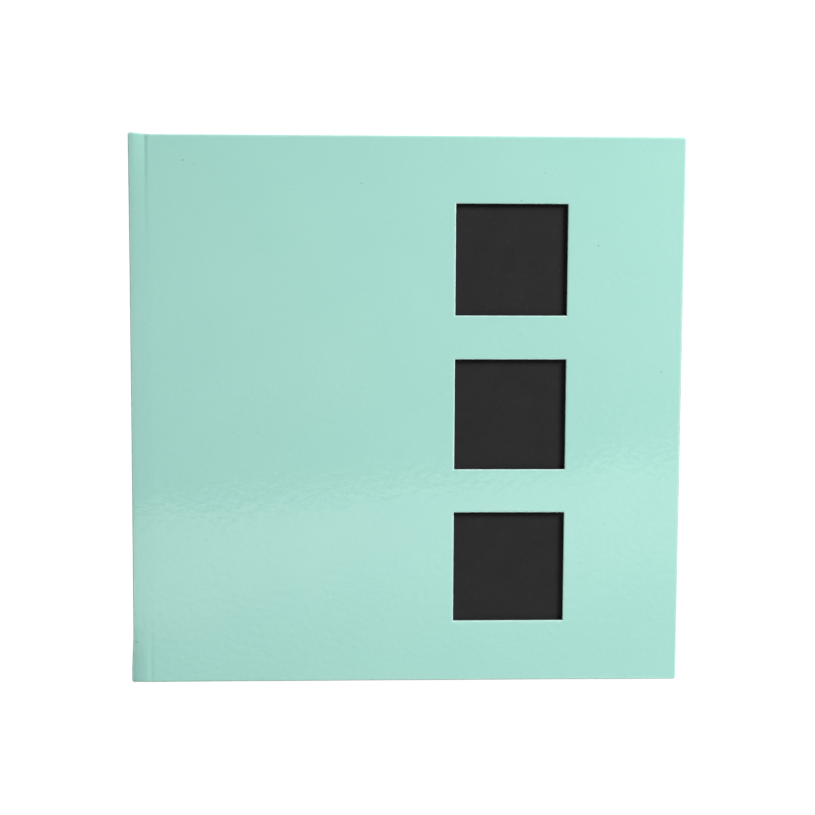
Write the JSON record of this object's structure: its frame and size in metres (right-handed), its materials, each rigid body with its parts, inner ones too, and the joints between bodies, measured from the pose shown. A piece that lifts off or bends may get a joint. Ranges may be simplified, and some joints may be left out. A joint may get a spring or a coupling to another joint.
{
  "type": "scrapbook album",
  "caption": "Square book-bound scrapbook album, closed, with a glossy pale green cover, a column of square recessed windows, a grooved spine and black card pages.",
  "frame": {"origin": "centre of the back cover's outer face, which the closed album lies on", "axes": "+Z out of the front cover, +Y to the head (top edge), spine along the -X side, fore-edge at +X"},
  "size_m": [0.251, 0.25, 0.027],
  "materials": {
    "cover_laminate": "gloss",
    "grey_board": "matte",
    "lining_paper": "matte",
    "window_card": "matte",
    "page_card": "matte",
    "guard_card": "matte",
    "kraft_paper": "matte",
    "hinge_cloth": "matte",
    "band_cloth": "matte"
  },
  "bodies": {
    "back_cover": {"back_board": "grey_board", "back_cover_wrap": "cover_laminate", "back_joint_strip": "cover_laminate", "back_pastedown": "lining_paper"},
    "spine": {"spine_board": "grey_board", "spine_wrap": "cover_laminate", "spine_lining": "kraft_paper", "hinge_cloth": "hinge_cloth", "head_band": "band_cloth", "tail_band": "band_cloth"},
    "front_cover": {"front_board": "grey_board", "front_cover_wrap": "cover_laminate", "front_joint_strip": "cover_laminate", "front_pastedown": "lining_paper", "window_backing": "window_card"},
    "front_flyleaf": {"front_flyleaf": "lining_paper"},
    "leaf_01": {"leaf_01": "page_card", "guard_01": "guard_card"},
    "leaf_02": {"leaf_02": "page_card", "guard_02": "guard_card"},
    "leaf_03": {"leaf_03": "page_card", "guard_03": "guard_card"},
    "leaf_04": {"leaf_04": "page_card", "guard_04": "guard_card"},
    "leaf_05": {"leaf_05": "page_card", "guard_05": "guard_card"},
    "leaf_06": {"leaf_06": "page_card", "guard_06": "guard_card"},
    "leaf_07": {"leaf_07": "page_card", "guard_07": "guard_card"},
    "leaf_08": {"leaf_08": "page_card", "guard_08": "guard_card"},
    "leaf_09": {"leaf_09": "page_card", "guard_09": "guard_card"},
    "leaf_10": {"leaf_10": "page_card", "guard_10": "guard_card"},
    "leaf_11": {"leaf_11": "page_card", "guard_11": "guard_card"},
    "leaf_12": {"leaf_12": "page_card", "guard_12": "guard_card"},
    "leaf_13": {"leaf_13": "page_card", "guard_13": "guard_card"},
    "leaf_14": {"leaf_14": "page_card", "guard_14": "guard_card"},
    "leaf_15": {"leaf_15": "page_card", "guard_15": "guard_card"},
    "leaf_16": {"leaf_16": "page_card", "guard_16": "guard_card"},
    "leaf_17": {"leaf_17": "page_card", "guard_17": "guard_card"},
    "leaf_18": {"leaf_18": "page_card", "guard_18": "guard_card"},
    "leaf_19": {"leaf_19": "page_card", "guard_19": "guard_card"},
    "leaf_20": {"leaf_20": "page_card", "guard_20": "guard_card"},
    "back_flyleaf": {"back_flyleaf": "lining_paper"}
  },
  "joints": [
    {"name": "spine_opening", "type": "hinge", "parent": "back_cover", "child": "spine", "pos_m": [-0.1231, 0, 0.0025], "axis": [0, -1, 0], "range_deg": [0, 90]},
    {"name": "front_cover_opening", "type": "hinge", "parent": "spine", "child": "front_cover", "pos_m": [-0.1231, 0, 0.0245], "axis": [0, -1, 0], "range_deg": [0, 90]},
    {"name": "front_flyleaf_turn", "type": "hinge", "parent": "spine", "child": "front_flyleaf", "pos_m": [-0.12287, 0, 0.02428], "axis": [0, -1, 0], "range_deg": [0, 90]},
    {"name": "leaf_01_turn", "type": "hinge", "parent": "spine", "child": "leaf_01", "pos_m": [-0.12259, 0, 0.02399], "axis": [0, -1, 0], "range_deg": [0, 90]},
    {"name": "leaf_02_turn", "type": "hinge", "parent": "spine", "child": "leaf_02", "pos_m": [-0.12216, 0, 0.02356], "axis": [0, -1, 0], "range_deg": [0, 90]},
    {"name": "leaf_03_turn", "type": "hinge", "parent": "spine", "child": "leaf_03", "pos_m": [-0.12172, 0, 0.02312], "axis": [0, -1, 0], "range_deg": [0, 90]},
    {"name": "leaf_04_turn", "type": "hinge", "parent": "spine", "child": "leaf_04", "pos_m": [-0.12129, 0, 0.02269], "axis": [0, -1, 0], "range_deg": [0, 90]},
    {"name": "leaf_05_turn", "type": "hinge", "parent": "spine", "child": "leaf_05", "pos_m": [-0.12086, 0, 0.02226], "axis": [0, -1, 0], "range_deg": [0, 90]},
    {"name": "leaf_06_turn", "type": "hinge", "parent": "spine", "child": "leaf_06", "pos_m": [-0.12043, 0, 0.02183], "axis": [0, -1, 0], "range_deg": [0, 90]},
    {"name": "leaf_07_turn", "type": "hinge", "parent": "spine", "child": "leaf_07", "pos_m": [-0.11999, 0, 0.02139], "axis": [0, -1, 0], "range_deg": [0, 90]},
    {"name": "leaf_08_turn", "type": "hinge", "parent": "spine", "child": "leaf_08", "pos_m": [-0.11956, 0, 0.02096], "axis": [0, -1, 0], "range_deg": [0, 90]},
    {"name": "leaf_09_turn", "type": "hinge", "parent": "spine", "child": "leaf_09", "pos_m": [-0.11913, 0, 0.02053], "axis": [0, -1, 0], "range_deg": [0, 90]},
    {"name": "leaf_10_turn", "type": "hinge", "parent": "spine", "child": "leaf_10", "pos_m": [-0.1187, 0, 0.0201], "axis": [0, -1, 0], "range_deg": [0, 90]},
    {"name": "leaf_11_turn", "type": "hinge", "parent": "spine", "child": "leaf_11", "pos_m": [-0.1187, 0, 0.0069], "axis": [0, -1, 0], "range_deg": [-90, 0]},
    {"name": "leaf_12_turn", "type": "hinge", "parent": "spine", "child": "leaf_12", "pos_m": [-0.11913, 0, 0.00647], "axis": [0, -1, 0], "range_deg": [-90, 0]},
    {"name": "leaf_13_turn", "type": "hinge", "parent": "spine", "child": "leaf_13", "pos_m": [-0.11956, 0, 0.00604], "axis": [0, -1, 0], "range_deg": [-90, 0]},
    {"name": "leaf_14_turn", "type": "hinge", "parent": "spine", "child": "leaf_14", "pos_m": [-0.11999, 0, 0.00561], "axis": [0, -1, 0], "range_deg": [-90, 0]},
    {"name": "leaf_15_turn", "type": "hinge", "parent": "spine", "child": "leaf_15", "pos_m": [-0.12043, 0, 0.00517], "axis": [0, -1, 0], "range_deg": [-90, 0]},
    {"name": "leaf_16_turn", "type": "hinge", "parent": "spine", "child": "leaf_16", "pos_m": [-0.12086, 0, 0.00474], "axis": [0, -1, 0], "range_deg": [-90, 0]},
    {"name": "leaf_17_turn", "type": "hinge", "parent": "spine", "child": "leaf_17", "pos_m": [-0.12129, 0, 0.00431], "axis": [0, -1, 0], "range_deg": [-90, 0]},
    {"name": "leaf_18_turn", "type": "hinge", "parent": "spine", "child": "leaf_18", "pos_m": [-0.12172, 0, 0.00387], "axis": [0, -1, 0], "range_deg": [-90, 0]},
    {"name": "leaf_19_turn", "type": "hinge", "parent": "spine", "child": "leaf_19", "pos_m": [-0.12216, 0, 0.00344], "axis": [0, -1, 0], "range_deg": [-90, 0]},
    {"name": "leaf_20_turn", "type": "hinge", "parent": "spine", "child": "leaf_20", "pos_m": [-0.12259, 0, 0.00301], "axis": [0, -1, 0], "range_deg": [-90, 0]},
    {"name": "back_flyleaf_turn", "type": "hinge", "parent": "spine", "child": "back_flyleaf", "pos_m": [-0.12287, 0, 0.00272], "axis": [0, -1, 0], "range_deg": [-90, 0]}
  ],
  "couplings": [
    {"joint": "front_cover_opening", "follows": "spine_opening", "ratio": 1},
    {"joint": "front_flyleaf_turn", "follows": "spine_opening", "ratio": 0.9978},
    {"joint": "leaf_01_turn", "follows": "spine_opening", "ratio": 0.9951},
    {"joint": "leaf_02_turn", "follows": "spine_opening", "ratio": 0.9909},
    {"joint": "leaf_03_turn", "follows": "spine_opening", "ratio": 0.9868},
    {"joint": "leaf_04_turn", "follows": "spine_opening", "ratio": 0.9826},
    {"joint": "leaf_05_turn", "follows": "spine_opening", "ratio": 0.9784},
    {"joint": "leaf_06_turn", "follows": "spine_opening", "ratio": 0.9743},
    {"joint": "leaf_07_turn", "follows": "spine_opening", "ratio": 0.9701},
    {"joint": "leaf_08_turn", "follows": "spine_opening", "ratio": 0.966},
    {"joint": "leaf_09_turn", "follows": "spine_opening", "ratio": 0.9618},
    {"joint": "leaf_10_turn", "follows": "spine_opening", "ratio": 0.9576},
    {"joint": "leaf_11_turn", "follows": "spine_opening", "ratio": -0.9576},
    {"joint": "leaf_12_turn", "follows": "spine_opening", "ratio": -0.9618},
    {"joint": "leaf_13_turn", "follows": "spine_opening", "ratio": -0.966},
    {"joint": "leaf_14_turn", "follows": "spine_opening", "ratio": -0.9701},
    {"joint": "leaf_15_turn", "follows": "spine_opening", "ratio": -0.9743},
    {"joint": "leaf_16_turn", "follows": "spine_opening", "ratio": -0.9784},
    {"joint": "leaf_17_turn", "follows": "spine_opening", "ratio": -0.9826},
    {"joint": "leaf_18_turn", "follows": "spine_opening", "ratio": -0.9868},
    {"joint": "leaf_19_turn", "follows": "spine_opening", "ratio": -0.9909},
    {"joint": "leaf_20_turn", "follows": "spine_opening", "ratio": -0.9951},
    {"joint": "back_flyleaf_turn", "follows": "spine_opening", "ratio": -0.9978}
  ]
}
